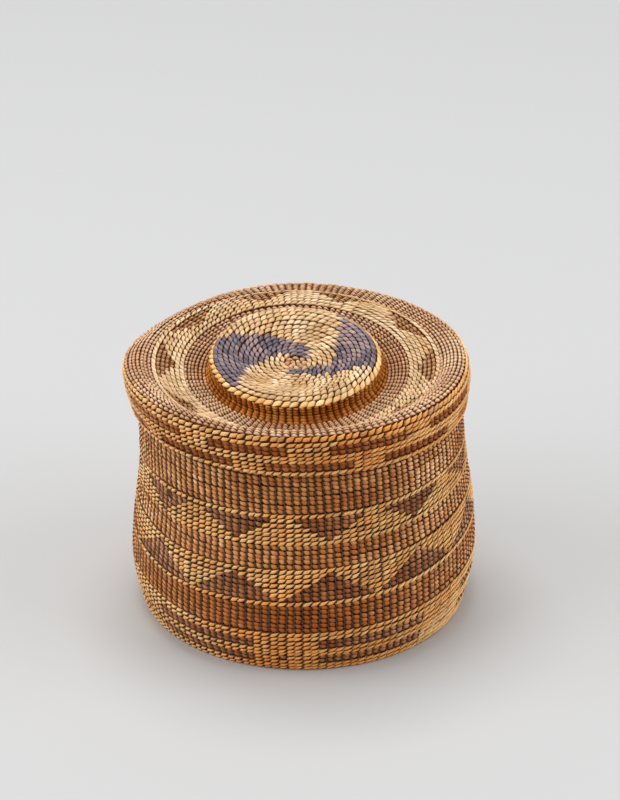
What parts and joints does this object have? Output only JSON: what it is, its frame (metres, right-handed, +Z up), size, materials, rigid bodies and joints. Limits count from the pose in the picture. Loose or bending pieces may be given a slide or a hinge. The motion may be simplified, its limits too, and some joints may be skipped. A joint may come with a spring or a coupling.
{
  "type": "lidded basket",
  "caption": "Round twined basket with an overhanging lift-off lid whose flat hollow knob holds a rattle, banded with stepped and block patterns.",
  "frame": {"origin": "middle of the foot, on the surface the basket stands on", "axes": "+Z up, the way the lid lifts; -Y toward the front, the side the picture is taken from; +X to the right as seen from the front"},
  "size_m": [0.1441, 0.1418, 0.1145],
  "materials": {
    "root": "split root, matte",
    "root_pale": "split root, less darkened, matte",
    "straw": "grass, satin",
    "straw_pale": "grass, less darkened, satin",
    "dyed": "dyed grass, matte",
    "stone": "worn stone"
  },
  "bodies": {
    "basket": {"basket_body": "root", "rim_edging": "root", "foot_overlay": "straw", "lower_course": "straw", "lower_crown": "straw", "upper_crown": "straw", "upper_course": "straw"},
    "lid": {"lid_shell": "root_pale", "flange_edge_course": "straw", "flange_overlay": "straw", "shoulder_course": "straw", "lid_ring_course": "straw_pale", "lid_crown": "straw_pale", "knob_edge_course": "straw_pale", "knob_field": "straw_pale", "knob_swirl_left": "dyed", "knob_swirl_right": "dyed", "rattle_floor": "root_pale"},
    "pebbles": {"pebble_1": "stone", "pebble_2": "stone", "pebble_3": "stone", "pebble_4": "stone", "pebble_5": "stone", "pebble_6": "stone"}
  },
  "joints": [
    {"name": "lid_lift", "type": "slide", "parent": "basket", "child": "lid", "axis": [0, 0, 1], "range_m": [0, 0.06]},
    {"name": "pebbles_rattle", "type": "slide", "parent": "lid", "child": "pebbles", "axis": [0, 0, 1], "range_m": [0, 0.0012]}
  ]
}
